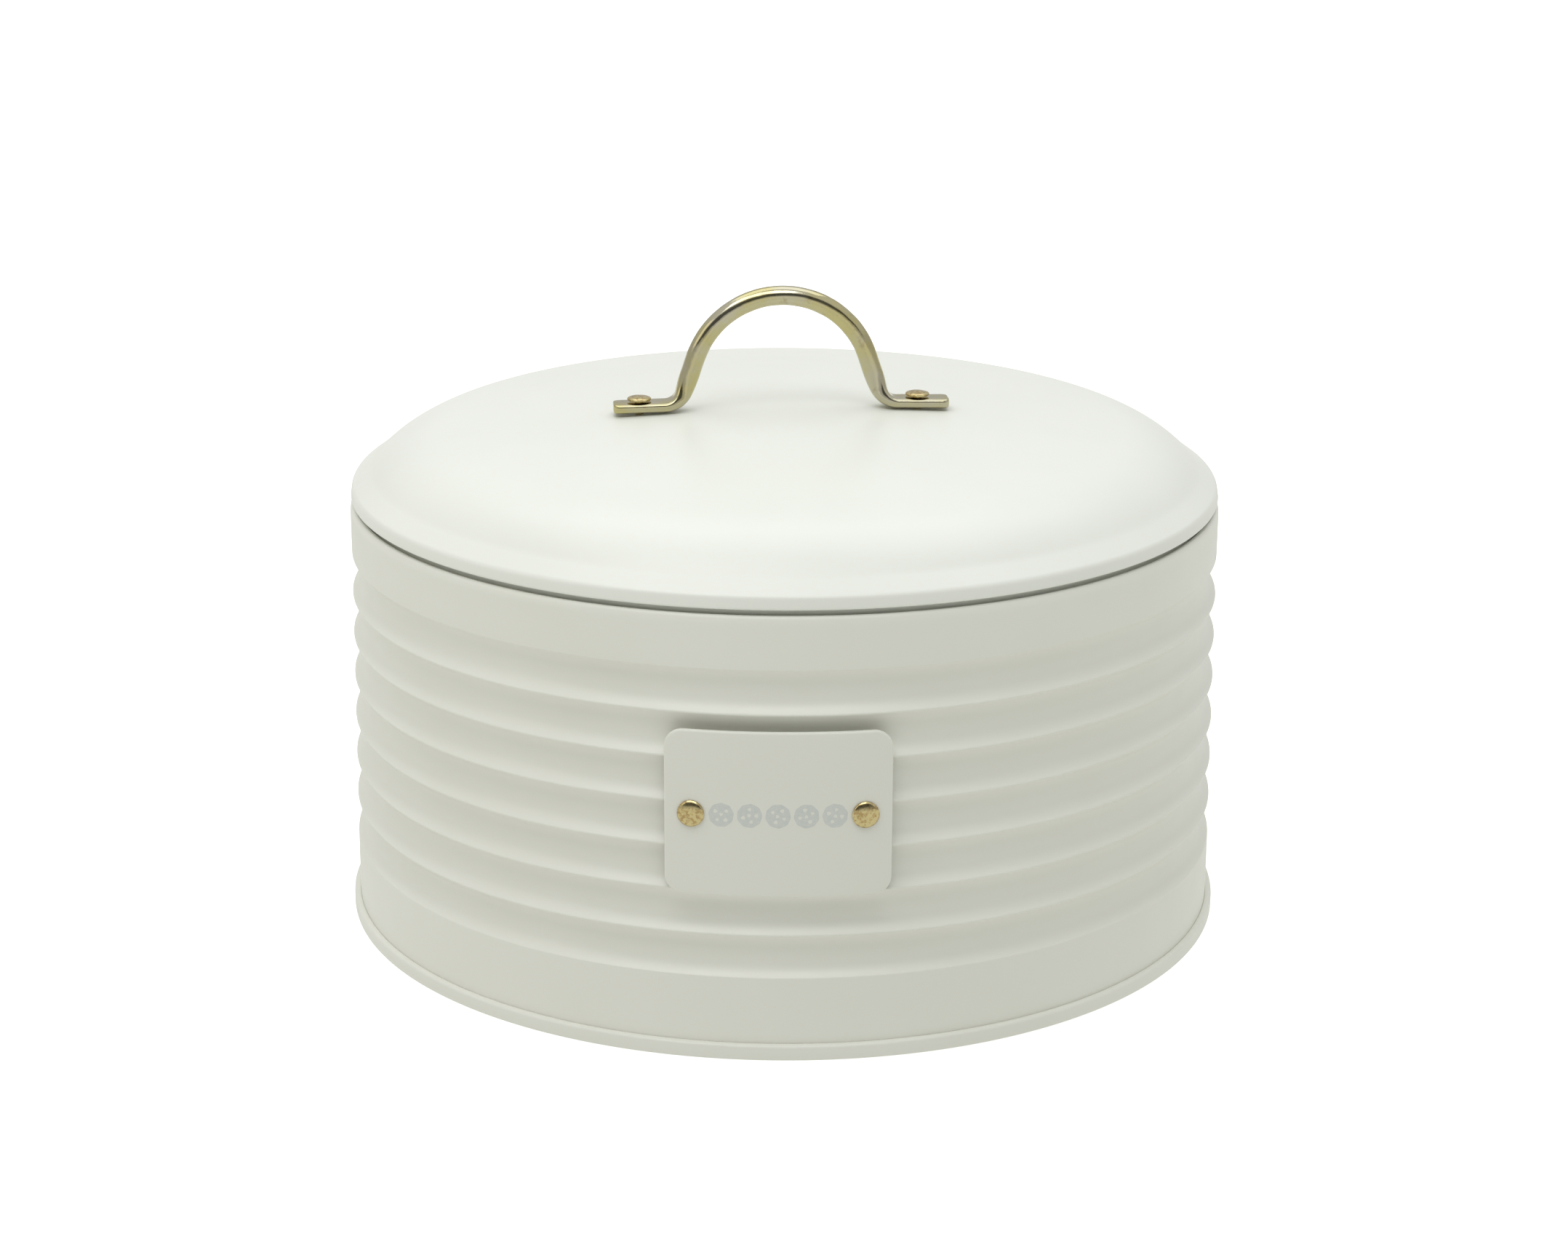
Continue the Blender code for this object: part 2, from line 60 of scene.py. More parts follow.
WALL_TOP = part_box("body_wall")[1].z
SEAM_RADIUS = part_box("base_panel")[1].x
DOME_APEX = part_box("lid_dome")[1].z
HEM_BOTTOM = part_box("lid_dome")[0].z
PLUG_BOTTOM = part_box("lid_plug_ring")[0].z
PLATE_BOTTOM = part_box("label_plate")[0].z
PLATE_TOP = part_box("label_plate")[1].z
PLATE_SKIN = -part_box("label_plate")[0].y
FOOT_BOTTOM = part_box("handle")[0].z
ARCH_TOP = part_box("handle")[1].z
RIVET_HEAD_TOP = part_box("handle_rivet_left")[1].z
WASHER_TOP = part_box("handle_washer_left")[1].z
PLATE_MIDDLE = (PLATE_TOP + PLATE_BOTTOM) / 2.0
LABEL_RIVETS = middle_of("label_rivet_left") + middle_of("label_rivet_right")
PLATE_TURN = math.atan2(LABEL_RIVETS.x, -LABEL_RIVETS.y)

# ---------------------------------------------------------------- sizes of the visible pieces

SHEET = 0.35 * MM
MOUTH_RADIUS = 109.8 * MM
FOOT_RADIUS = 110.5 * MM
LIP_CURL = 1.1 * MM
LIP_FALL = 2.2 * MM
CURL_START = 255.0          # in degrees from +radius
FLUTE_TOP = 94.9 * MM
FLUTE_PITCH = 10.71 * MM
FLUTE_COUNT = 7
FLUTE_DEPTH = 2.2 * MM
FLUTE_POWER = 2.8
CREST_ROUND = 0.42 * MM
LIP_RUN = 4.0 * MM          # from the mouth down to where the plain band is straight
FLUTE_RUN = 3.0 * MM        # straight stretch above the first flute
FOOT_RUN = 6.0 * MM         # straight stretch above the seam
WALL_BOTTOM = 1.6 * MM
LAP_HALF_WIDTH = 2.2 * MM
LAP_EDGE = 0.5 * MM
LAP_HEIGHT = 0.22 * MM
LAP_SPREAD = 1.4            # width of the close steps, in lap edges
SEAM_TOP = 3.8 * MM
SEAM_GAP = 0.02 * MM        # between the wall and the lip of the seam
SEAM_LIP = 0.6 * MM
SEAM_LIP_ROUND = 0.15 * MM
SEAM_DEPTH = 1.1 * MM
SEAM_ROUND = 0.8 * MM
STAND_ROUND = 0.6 * MM
PANEL_HEIGHT = 4.6 * MM
PANEL_ROUND = 0.8 * MM
PANEL_STEP_ROUND = 0.6 * MM
PANEL_STEP_RADIUS = 95.0 * MM
PANEL_STEP_WIDTH = 2.0 * MM
PANEL_STEP_RISE = 0.8 * MM

CROWN_RADIUS = 735.0 * MM
CROWN_EDGE = 86.0 * MM
SHOULDER_RADIUS = 30.0 * MM
SHOULDER_EDGE = 103.5 * MM
CREASE_WIDTH = 1.6 * MM
CREASE_DROP = 1.4 * MM
RIM_RADIUS = 109.55 * MM
RIM_TOP_SLOPE = 36.0 * DEG
RIM_SIDE_SLOPE = 81.0 * DEG
RIM_ROUND = 2.0 * MM
HEM_ROUND = 0.6 * MM
HEM_INNER = 108.0 * MM
PLUG_RADIUS = 107.1 * MM
PLUG_FLANGE_EDGE = 108.4 * MM
PLUG_FLANGE_RISE = 0.7 * MM  # of the flange above the hem
PLUG_FLANGE_ROUND = 0.6 * MM
PLUG_STRAIGHT = 6.0 * MM
PLUG_CURL = 1.4 * MM
PLUG_CURL_DEPTH = 1.9 * MM

WIRE = 4.9 * MM
ARCH_RADIUS = 22.8 * MM
LEG_FLARE = 19.0 * DEG
BEND_RADIUS = 5.2 * MM
FOOT_THICKNESS = 2.5 * MM
FOOT_WIDTH = 7.2 * MM
FOOT_END = 42.3 * MM
FOOT_CORNER = 1.6 * MM
END_ROUND = 0.45 * MM
PRESS_START = 138.6 * MM
PRESS_POWER = 2.4
FOOT_TILT = 1.2 * DEG
FOOT_SQUARENESS = 2.2       # added to the power of a plain round
END_THINNING = 0.8
RIVET_SHIFT = -0.65 * MM
HAMMER_BROAD = 0.05 * MM
HAMMER_BROAD_SCALE = 260.0
HAMMER_FINE = 0.016 * MM
HAMMER_FINE_SCALE = 900.0
HAMMER_SHIFT = Vector((7.3, 2.1, 5.7))

SHANK_RADIUS = 1.1 * MM
HANDLE_HEAD_RADIUS = 3.0 * MM
LABEL_HEAD_RADIUS = 3.15 * MM
HEAD_RIM = 0.4 * MM
HEAD_EDGE = 0.12 * MM
HEAD_STEP = 0.1 * MM
HEAD_FULLNESS = 1.35
HEAD_CROWN = 1.0 * MM        # in the frame; the visible crowns are the two below
HANDLE_CROWN = 0.6 * MM
LABEL_CROWN = 0.86 * MM
TAIL_RADIUS = 2.6 * MM
TAIL_HEIGHT = 1.2 * MM
TAIL_PARTS = (0.93, 0.35)    # the set end and its hollow, in tail radii
TAIL_ROUNDS = (0.2 * MM, 0.45 * MM)
TAIL_HOLLOW = (0.12 * MM, 0.2 * MM)
RIVET_DENTS = 0.045 * MM
RIVET_DENT_SCALE = 520.0
RIVET_SEED = (3.1, 1.7)
WASHER_RADIUS = 4.5 * MM
WASHER_THICKNESS = 0.8 * MM
WASHER_PLAY = 0.3 * MM
WASHER_ROUNDS = (0.15 * MM, 0.2 * MM)

PLATE_WIDTH = 52.4 * MM
PLATE_THICKNESS = 0.9 * MM
PLATE_CORNER = 4.4 * MM
PLATE_ROLL = 0.65 * MM
PLATE_ROLL_DROP = 0.6 * MM
PLATE_SIDE_SHARE = 0.85     # height of the plate's side where its roll begins
LABEL_RIVET_GRIP = 4.4 * MM

PRINT_COOKIES = 5
PRINT_PITCH = 6.5 * MM
PRINT_RADIUS = 2.85 * MM
PRINT_RISE = 0.03 * MM
PRINT_SLICE = 0.5 * MM
PRINT_CHIPS = (  # across, up and size, in cookie radii
    (0.0, 0.05, 0.15),
    (0.42, 0.34, 0.15),
    (-0.45, 0.3, 0.17),
    (0.36, -0.42, 0.17),
    (-0.32, -0.42, 0.14),
)
PRINT_TURN = 0.9
COOKIE_WAVES = (9, 0.02)     # count and depth of the waves in its edge
COOKIE_PHASE = 1.3
CHIP_WAVES = (3, 0.12)
CHIP_PHASE = 9.0
WELD = 1e-6

# ---------------------------------------------------------------- fineness of the meshes

TURN_STEPS = 240
SMALL_STEPS = 48
WIRE_STEPS = 44
FLUTE_STEPS = 18
CREST_STEPS = 6
CURL_STEPS = 12
LAP_STEPS = 6
SHEET_BEND_STEPS = 6
CROWN_STEPS = 24
SHOULDER_STEPS = 20
CREASE_STEPS = 8
RIM_STEPS = 10
HEM_STEPS = 8
ARCH_STEPS = 60
LEG_STEPS = 12
BEND_STEPS = 16
FOOT_STEPS = 24
FOOT_END_STEPS = 10
HEAD_STEPS = 12
EDGE_STEPS = 4
PLATE_SIDE_STEPS = 24
PLATE_CORNER_STEPS = 10
PLATE_ROLL_STEPS = 8
PLATE_FILL_STEPS = 12
COOKIE_STEPS = 60
CHIP_STEPS = 20
AXIS_REACH = 1e-7            # closer to the axis than this, a ring becomes a pole
SHORTEST = 1e-9
SHARP_TURN = 35.0            # in degrees: sharper edges aren't smoothed
SHARP_SHEET = 50.0

# ---------------------------------------------------------------- colours

BODY_PAINT = ((0.80, 0.80, 0.735, 1.0), (0.785, 0.785, 0.715, 1.0))
# The lid's paint is a touch lighter and cooler than the body's. In part this is painted light: it stands
# in for the stronger light from above on the lid's top.
LID_PAINT_AND_TOP_LIGHT = ((0.83, 0.842, 0.785, 1.0), (0.815, 0.828, 0.77, 1.0))
PLATE_PAINT = ((0.78, 0.78, 0.715, 1.0), (0.77, 0.77, 0.70, 1.0))
BODY_ROUGHNESS = 0.36
LID_ROUGHNESS = 0.33
PLATE_ROUGHNESS = 0.32
ZINC_OLIVE = (0.52, 0.465, 0.235, 1.0)
# Partly bare grey zinc, partly a painted reflection of the dim grey studio above and behind the handle.
ZINC_GREY_AND_REFLECTION = (0.52, 0.485, 0.36, 1.0)
ZINC_STAIN = (0.27, 0.19, 0.10, 1.0)
BRASS_OLIVE = (0.60, 0.50, 0.26, 1.0)
BRASS_BROWN = (0.38, 0.26, 0.11, 1.0)
STEEL_PALE = (0.62, 0.62, 0.6, 1.0)
STEEL_GREY = (0.48, 0.49, 0.49, 1.0)
INK_FULL = (0.60, 0.635, 0.61, 1.0)
INK_WORN = (0.66, 0.68, 0.64, 1.0)
FLOOR_TONES = ((0.94, 0.94, 0.94, 1.0), (0.96, 0.96, 0.96, 1.0))

# ---------------------------------------------------------------- camera and light

LENS = 77.65
SENSOR = 36.0
CAMERA_PLACE = Vector((0.0, -0.8321, 0.33245))
CAMERA_DROP = 17.477 * DEG
CAMERA_ROLL = 0.232 * DEG
CLIP_NEAR = 0.01
CLIP_FAR = 50.0
FLOOR_SIZE = 6.0
FLOOR_ROUGHNESS = 0.9
FLOOR_GLOW = 0.5
SKY_STOPS = (
    (0.0, (1.05, 1.06, 1.0)),
    (0.49, (1.05, 1.06, 1.0)),
    (0.52, (0.68, 0.68, 0.67)),
    (0.63, (0.68, 0.68, 0.67)),
    (0.68, (0.82, 0.83, 0.80)),
    (0.80, (0.82, 0.83, 0.80)),
    (0.84, (0.92, 0.93, 0.92)),
    (1.0, (0.92, 0.93, 0.92)),
)
SKY_STRENGTH = 0.845
FRONT_DIM = 0.85
FRONT_EDGE = (-0.45, -0.65)  # Y of the directions between which the dim patch fades in
FRONT_FOOT = (0.12, 0.24)    # Z of those at its lower side
FRONT_HEAD = (0.68, 0.58)    # Z of those at its upper side
LAMP_TARGET = (0.0, 0.0, 0.1)
LAMPS = (  # name, place, size, power in watts, tint
    ("overhead", (-0.16, -0.5, 1.1), (1.1, 0.5), 4.2, (0.98, 0.99, 1.0)),
    ("ceiling", (0.0, 0.45, 1.4), (1.6, 1.0), 4.5, (0.96, 0.99, 1.0)),
    ("left_window", (-1.6, -0.55, 0.95), (0.8, 0.8), 1.15, (1.0, 0.86, 0.66)),
)


# ---------------------------------------------------------------- profiles in (radius, height)

def arc(centre, radius, start, end, steps):
    """Points on an arc; angles in degrees from +radius."""
    points = []
    for i in range(steps + 1):
        angle = (start + (end - start) * i / steps) * DEG
        points.append((centre[0] + radius * math.cos(angle), centre[1] + radius * math.sin(angle)))
    return points


def rounded(corners, steps):
    """A chain of (radius, height, rounding) corners, each rounding made an arc."""
    points = []
    for i, (x, y, rounding) in enumerate(corners):
        spot = Vector((x, y))
        if rounding == 0.0:
            points.append((x, y))
            continue
        before = (Vector(corners[i - 1][:2]) - spot).normalized()
        after = (Vector(corners[(i + 1) % len(corners)][:2]) - spot).normalized()
        half = before.angle(after) / 2.0
        centre = spot + (before + after).normalized() * (rounding / math.sin(half))
        first = spot + before * (rounding / math.tan(half)) - centre
        last = spot + after * (rounding / math.tan(half)) - centre
        start = math.atan2(first.y, first.x) / DEG
        sweep = math.remainder(math.atan2(last.y, last.x) / DEG - start, 360.0)
        points += arc(centre, rounding, start, start + sweep, steps)
    return points


def tangent_centre(first, first_slope, second, second_slope, radius):
    """Centre of an arc inside two lines that fall outwards, each given by a spot and its slope."""
    a = Vector((math.sin(first_slope), math.cos(first_slope)))
    b = Vector((math.sin(second_slope), math.cos(second_slope)))
    along, beyond = a.dot(first) - radius, b.dot(second) - radius
    area = a.x * b.y - a.y * b.x
    return ((along * b.y - beyond * a.y) / area, (a.x * beyond - b.x * along) / area)


def hermite(start, end, start_slope, end_slope, steps):
    """A smooth curve that falls outwards at the given slopes."""
    reach = (end - start).length
    leave = Vector((math.cos(start_slope), -math.sin(start_slope))) * reach
    arrive = Vector((math.cos(end_slope), -math.sin(end_slope))) * reach
    points = []
    for i in range(steps + 1):
        t = i / steps
        spot = start * (2 * t ** 3 - 3 * t ** 2 + 1) + leave * (t ** 3 - 2 * t ** 2 + t)
        spot += end * (3 * t ** 2 - 2 * t ** 3) + arrive * (t ** 3 - t ** 2)
        points.append((spot.x, spot.y))
    return points


def skin_offset(skin, distance):
    """The chain moved inwards, away from its outer side, by a distance."""
    moved = []
    for i, spot in enumerate(skin):
        before = Vector(skin[max(i - 1, 0)])
        after = Vector(skin[min(i + 1, len(skin) - 1)])
        here = Vector(spot)
        normals = []
        for a, b in ((before, here), (here, after)):
            if (b - a).length > SHORTEST:
                along = (b - a).normalized()
                normals.append(Vector((-along.y, along.x)))
        normal = sum(normals, Vector((0.0, 0.0))).normalized()
        reach = distance / max(normal.dot(normals[0]), 0.5)
        moved.append((max(here.x - normal.x * reach, 0.0), here.y - normal.y * reach))
    return moved


def sheet_loop(skin):
    """Outer skin down, inner skin back up."""
    return skin + skin_offset(skin, SHEET)[::-1]


# ---------------------------------------------------------------- mesh helpers

def add_piece(name, shape, sharp=SHARP_TURN):
    """Make a named object from a bmesh, smooth but for its sharp edges."""
    bmesh.ops.recalc_face_normals(shape, faces=shape.faces)
    mesh = bpy.data.meshes.new(name)
    shape.to_mesh(mesh)
    shape.free()
    mesh.shade_smooth()
    mesh.set_sharp_from_angle(angle=sharp * DEG)
    piece = bpy.data.objects.new(name, mesh)
    bpy.context.scene.collection.objects.link(piece)
    return piece


def even_turn(steps):
    return [math.tau * i / steps for i in range(steps)]


def turned(name, loop, azimuths, closed=True, lift=None):
    """A loop turned about Z. Points on the axis become poles; lift adds to the radius."""
    shape = bmesh.new()
    rings = []
    for radius, height in loop:
        if radius < AXIS_REACH:
            rings.append([shape.verts.new((0.0, 0.0, height))])
            continue
        ring = []
        for azimuth in azimuths:
            reach = radius + (lift(azimuth, height) if lift else 0.0)
            ring.append(shape.verts.new((reach * math.cos(azimuth), reach * math.sin(azimuth), height)))
        rings.append(ring)
    pairs = list(zip(rings, rings[1:]))
    if closed:
        pairs.append((rings[-1], rings[0]))
    for upper, lower in pairs:
        for j in range(len(azimuths)):
            k = (j + 1) % len(azimuths)
            corners = [upper[j % len(upper)], lower[j % len(lower)]]
            corners += [lower[k % len(lower)], upper[k % len(upper)]]
            unique = list(dict.fromkeys(corners))
            if len(unique) > 2:
                shape.faces.new(unique)
    return add_piece(name, shape)


def dress(piece, material, body, slot, *nodes):
    """Give a piece its material and its place in the frame."""
    piece.data.materials.clear()
    piece.data.materials.append(material)
    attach(piece, body)
    if nodes:
        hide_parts(*nodes)
    return piece


# ---------------------------------------------------------------- tin

def wall_radius(height):
    share = (FLUTE_TOP - height) / (FLUTE_COUNT * FLUTE_PITCH)
    return MOUTH_RADIUS + (FOOT_RADIUS - MOUTH_RADIUS) * min(max(share, 0.0), 1.0)


def flute_chain():
    """Hollows, flattest in the middle, with a small round on every crest between them."""
    half = FLUTE_PITCH / 2.0
    end_slope = math.atan(FLUTE_POWER * FLUTE_DEPTH / half)
    crest_half = CREST_ROUND * math.sin(end_slope)
    crest_drop = CREST_ROUND * (1.0 - math.cos(end_slope))
    reach = half - crest_half
    chain = []
    for i in range(FLUTE_COUNT + 1):
        crest = (-CREST_ROUND, FLUTE_TOP - i * FLUTE_PITCH)
        first = 0.0 if i == 0 else end_slope / DEG
        last = 0.0 if i == FLUTE_COUNT else -end_slope / DEG
        chain += arc(crest, CREST_ROUND, first, last, CREST_STEPS)
        if i < FLUTE_COUNT:
            for k in range(1, FLUTE_STEPS):
                share = math.sin((k / FLUTE_STEPS - 0.5) * math.pi)
                depth = crest_drop + FLUTE_DEPTH * (1.0 - abs(share) ** FLUTE_POWER)
                chain.append((-depth, crest[1] - half - reach * share))
    return [(wall_radius(z) + r, z) for r, z in chain]


def wall_skin():
    curl = (MOUTH_RADIUS - LIP_CURL, WALL_TOP - LIP_CURL)
    chain = arc(curl, LIP_CURL, CURL_START, 90.0, CURL_STEPS)
    for i in range(1, CURL_STEPS + 1):
        turn = i / CURL_STEPS * math.pi / 2.0
        chain.append((curl[0] + LIP_CURL * math.sin(turn), WALL_TOP - LIP_FALL * (1.0 - math.cos(turn))))
    chain += [(MOUTH_RADIUS, WALL_TOP - LIP_RUN), (MOUTH_RADIUS, FLUTE_TOP + FLUTE_RUN)]
    chain += flute_chain()
    chain += [(FOOT_RADIUS, height) for height in (SEAM_TOP + FOOT_RUN, SEAM_TOP, WALL_BOTTOM)]
    return chain


def seam_lift(azimuth, height):
    """The wall's welded lap stands slightly proud at the back."""
    away = abs(azimuth - math.pi / 2.0) * MOUTH_RADIUS
    share = min(max((LAP_HALF_WIDTH - away) / LAP_EDGE + 0.5, 0.0), 1.0)
    return LAP_HEIGHT * share * share * (3.0 - 2.0 * share)


def wall_azimuths():
    """Even steps, with close ones across the lap at the back."""
    spots = even_turn(TURN_STEPS)
    for side in (-1, 1):
        for k in range(LAP_STEPS + 1):
            across = side * (LAP_HALF_WIDTH + (k / LAP_STEPS - 0.5) * LAP_EDGE * LAP_SPREAD)
            spots.append(math.pi / 2.0 + across / MOUTH_RADIUS)
    return sorted(spots)


def make_wall(paint):
    wall = turned("body_wall_shell", sheet_loop(wall_skin()), wall_azimuths(), True, seam_lift)
    return dress(wall, paint, "body", "painted_body", "body_wall")


def make_base(paint):
    chuck = FOOT_RADIUS - SEAM_DEPTH
    lip = FOOT_RADIUS + SEAM_GAP
    panel = PANEL_HEIGHT + PANEL_STEP_RISE
    corners = [
        (lip, SEAM_TOP - SEAM_LIP, 0.0),
        (lip, SEAM_TOP, SEAM_LIP_ROUND),
        (SEAM_RADIUS, SEAM_TOP, SEAM_ROUND),
        (SEAM_RADIUS, 0.0, STAND_ROUND),
        (chuck, 0.0, STAND_ROUND),
        (chuck, PANEL_HEIGHT, PANEL_ROUND),
        (PANEL_STEP_RADIUS, PANEL_HEIGHT, PANEL_STEP_ROUND),
        (PANEL_STEP_RADIUS - PANEL_STEP_WIDTH, panel, PANEL_STEP_ROUND),
        (PANEL_STEP_RADIUS / 2.0, panel, 0.0),
        (0.0, panel, 0.0),
    ]
    skin = rounded(corners, SHEET_BEND_STEPS)
    base = turned("base_shell", sheet_loop(skin), even_turn(TURN_STEPS), False)
    return dress(base, paint, "body", "painted_body", "base_panel")


# ---------------------------------------------------------------- lid

def crown_height(radius):
    return DOME_APEX - CROWN_RADIUS + math.sqrt(CROWN_RADIUS ** 2 - radius ** 2)


def dome_skin():
    reaches = [CROWN_EDGE * i / CROWN_STEPS for i in range(CROWN_STEPS)]
    chain = [(reach, crown_height(reach)) for reach in reaches]
    slope = math.asin(CROWN_EDGE / CROWN_RADIUS)
    centre = (
        CROWN_EDGE - SHOULDER_RADIUS * math.sin(slope),
        crown_height(CROWN_EDGE) - SHOULDER_RADIUS * math.cos(slope),
    )
    edge_slope = math.asin((SHOULDER_EDGE - centre[0]) / SHOULDER_RADIUS)
    chain += arc(centre, SHOULDER_RADIUS, 90.0 - slope / DEG, 90.0 - edge_slope / DEG, SHOULDER_STEPS)
    start = Vector(chain[-1])
    crease = start + Vector((CREASE_WIDTH, -CREASE_DROP))
    chain += hermite(start, crease, edge_slope, RIM_TOP_SLOPE, CREASE_STEPS)[1:]
    widest = Vector((RIM_RADIUS, HEM_BOTTOM + HEM_ROUND))
    corner = tangent_centre(crease, RIM_TOP_SLOPE, widest, RIM_SIDE_SLOPE, RIM_ROUND)
    turns = (90.0 - RIM_TOP_SLOPE / DEG, 90.0 - RIM_SIDE_SLOPE / DEG)
    chain += arc(corner, RIM_ROUND, *turns, RIM_STEPS)
    hem = (RIM_RADIUS - HEM_ROUND, HEM_BOTTOM + HEM_ROUND)
    chain += arc(hem, HEM_ROUND, 0.0, -90.0, HEM_STEPS)
    chain.append((HEM_INNER, HEM_BOTTOM))
    return chain


def make_dome(paint):
    dome = turned("lid_dome_shell", sheet_loop(dome_skin()), even_turn(TURN_STEPS), False)
    return dress(dome, paint, "lid", "painted_lid", "lid_dome")


def make_plug_ring(paint):
    flange = HEM_BOTTOM + PLUG_FLANGE_RISE
    corners = [
        (PLUG_FLANGE_EDGE, flange, 0.0),
        (PLUG_RADIUS, flange, PLUG_FLANGE_ROUND),
        (PLUG_RADIUS, PLUG_BOTTOM + PLUG_STRAIGHT, 0.0),
        (PLUG_RADIUS, PLUG_BOTTOM, PLUG_CURL),
        (PLUG_RADIUS - PLUG_CURL_DEPTH, PLUG_BOTTOM, 0.0),
    ]
    skin = rounded(corners, SHEET_BEND_STEPS)
    ring = turned("lid_plug_ring_shell", sheet_loop(skin), even_turn(TURN_STEPS))
    return dress(ring, paint, "lid", "painted_lid", "lid_plug_ring")


# ---------------------------------------------------------------- handle

def handle_matrix():
    """X along the handle, Z up, at its middle; the rivets sit off the middle by RIVET_SHIFT."""
    left = middle_of("handle_rivet_left")
    right = middle_of("handle_rivet_right")
    along = Vector((right.x - left.x, right.y - left.y, 0.0)).normalized()
    across = Vector((-along.y, along.x, 0.0))
    made = Matrix((along, across, Vector((0.0, 0.0, 1.0)))).transposed().to_4x4()
    middle = Vector(((left.x + right.x) / 2.0, (left.y + right.y) / 2.0, 0.0))
    made.translation = middle - along * RIVET_SHIFT
    return made


def half_route():
    """Half of the wire's centre line in its own plane, from the arch's top to the foot's end."""
    arch_height = ARCH_TOP - WIRE / 2.0 - ARCH_RADIUS
    arch = arc((0.0, arch_height), ARCH_RADIUS, 90.0, LEG_FLARE / DEG, ARCH_STEPS)
    route = [Vector(p) for p in arch]
    foot_height = FOOT_BOTTOM + FOOT_THICKNESS / 2.0
    leg = Vector((math.sin(LEG_FLARE), -math.cos(LEG_FLARE)))
    corner = route[-1] + leg * ((route[-1].y - foot_height) / math.cos(LEG_FLARE))
    tangent = BEND_RADIUS * math.tan((math.pi / 2.0 - LEG_FLARE) / 2.0)
    bend_start = corner - leg * tangent
    leg_top = route[-1].copy()
    for i in range(1, LEG_STEPS):
        route.append(leg_top.lerp(bend_start, i / LEG_STEPS))
    centre = (corner.x + tangent, foot_height + BEND_RADIUS)
    bend = arc(centre, BEND_RADIUS, 180.0 + LEG_FLARE / DEG, 270.0, BEND_STEPS)
    route += [Vector(p) for p in bend]
    foot_start = route[-1].x
    plain = FOOT_END - FOOT_CORNER
    outwards = [foot_start + (plain - foot_start) * i / FOOT_STEPS for i in range(1, FOOT_STEPS + 1)]
    for i in range(1, FOOT_END_STEPS + 1):
        outwards.append(plain + FOOT_CORNER * math.sin(i / FOOT_END_STEPS * math.pi / 2.0))
    for x in outwards:
        route.append(Vector((x, foot_height - (x - foot_start) * math.tan(FOOT_TILT))))
    return route


def wire_section(spot):
    """Half thickness, half width and squareness of the wire at a spot on its centre line."""
    foot_height = FOOT_BOTTOM + FOOT_THICKNESS / 2.0
    pressed = min(max((PRESS_START - spot.y) / (PRESS_START - foot_height), 0.0), 1.0) ** PRESS_POWER
    thickness = WIRE + (FOOT_THICKNESS - WIRE) * pressed
    width = WIRE + (FOOT_WIDTH - WIRE) * pressed
    squareness = 2.0 + FOOT_SQUARENESS * pressed
    into_corner = min(max(abs(spot.x) - (FOOT_END - FOOT_CORNER), 0.0), FOOT_CORNER)
    trim = FOOT_CORNER - math.sqrt(max(FOOT_CORNER ** 2 - into_corner ** 2, 0.0))
    into_end = max(into_corner - FOOT_CORNER + END_ROUND, 0.0)
    end_round = END_ROUND - math.sqrt(max(END_ROUND ** 2 - into_end ** 2, 0.0))
    return thickness / 2.0 - end_round * END_THINNING, width / 2.0 - trim, squareness


def bent(value, power):
    return math.copysign(abs(value) ** (2.0 / power), value)


def hammered(spot):
    """Small unevenness of the drawn and plated wire."""
    broad = noise.noise(spot * HAMMER_BROAD_SCALE)
    fine = noise.noise(spot * HAMMER_FINE_SCALE + HAMMER_SHIFT)
    return broad * HAMMER_BROAD + fine * HAMMER_FINE


def make_handle(zinc):
    half = half_route()
    route = [Vector((-spot.x, spot.y)) for spot in reversed(half[1:])] + half
    shape = bmesh.new()
    rings = []
    for i, spot in enumerate(route):
        before = route[max(i - 1, 0)]
        after = route[min(i + 1, len(route) - 1)]
        along = (after - before).normalized()
        out = Vector((-along.y, 0.0, along.x))
        thick, wide, power = wire_section(spot)
        ring = []
        for k in range(WIRE_STEPS):
            turn = math.tau * k / WIRE_STEPS
            place = Vector((spot.x, 0.0, spot.y))
            lean = out * (thick * bent(math.sin(turn), power))
            lean.y += wide * bent(math.cos(turn), power)
            ring.append(shape.verts.new(place + lean + lean.normalized() * hammered(place + lean)))
        rings.append(ring)
    for first, second in zip(rings, rings[1:]):
        for k in range(WIRE_STEPS):
            n = (k + 1) % WIRE_STEPS
            shape.faces.new((first[k], second[k], second[n], first[n]))
    for ring in (rings[0], rings[-1]):
        centre = shape.verts.new(sum((v.co for v in ring), Vector()) / WIRE_STEPS)
        for k in range(WIRE_STEPS):
            shape.faces.new((ring[k], ring[(k + 1) % WIRE_STEPS], centre))
    shape.transform(handle_matrix())
    handle = add_piece("handle_wire", shape, SHARP_SHEET)
    return dress(handle, zinc, "lid", "handle_metal", "handle")


# ---------------------------------------------------------------- rivets and washers

def rivet_loop(head_radius, crown_rise, grip):
    """Head, shank and set tail; the underside of the head is at height 0."""
    crown = []
    for i in range(HEAD_STEPS + 1):
        angle = (90.0 - 90.0 * i / HEAD_STEPS) * DEG
        rise = (crown_rise - HEAD_STEP) * math.sin(angle) ** HEAD_FULLNESS
        crown.append(((head_radius - HEAD_EDGE) * math.cos(angle), HEAD_RIM + HEAD_STEP + rise))
    end = -grip - TAIL_HEIGHT
    lower = rounded([
        (head_radius, HEAD_RIM, 0.0),
        (head_radius, 0.0, HEAD_EDGE),
        (SHANK_RADIUS, 0.0, 0.0),
        (SHANK_RADIUS, -grip, 0.0),
        (TAIL_RADIUS, -grip, TAIL_ROUNDS[0]),
        (TAIL_RADIUS * TAIL_PARTS[0], end, TAIL_ROUNDS[1]),
        (TAIL_RADIUS * TAIL_PARTS[1], end + TAIL_HOLLOW[0], 0.0),
        (0.0, end + TAIL_HOLLOW[1], 0.0),
    ], EDGE_STEPS)
    return crown + lower


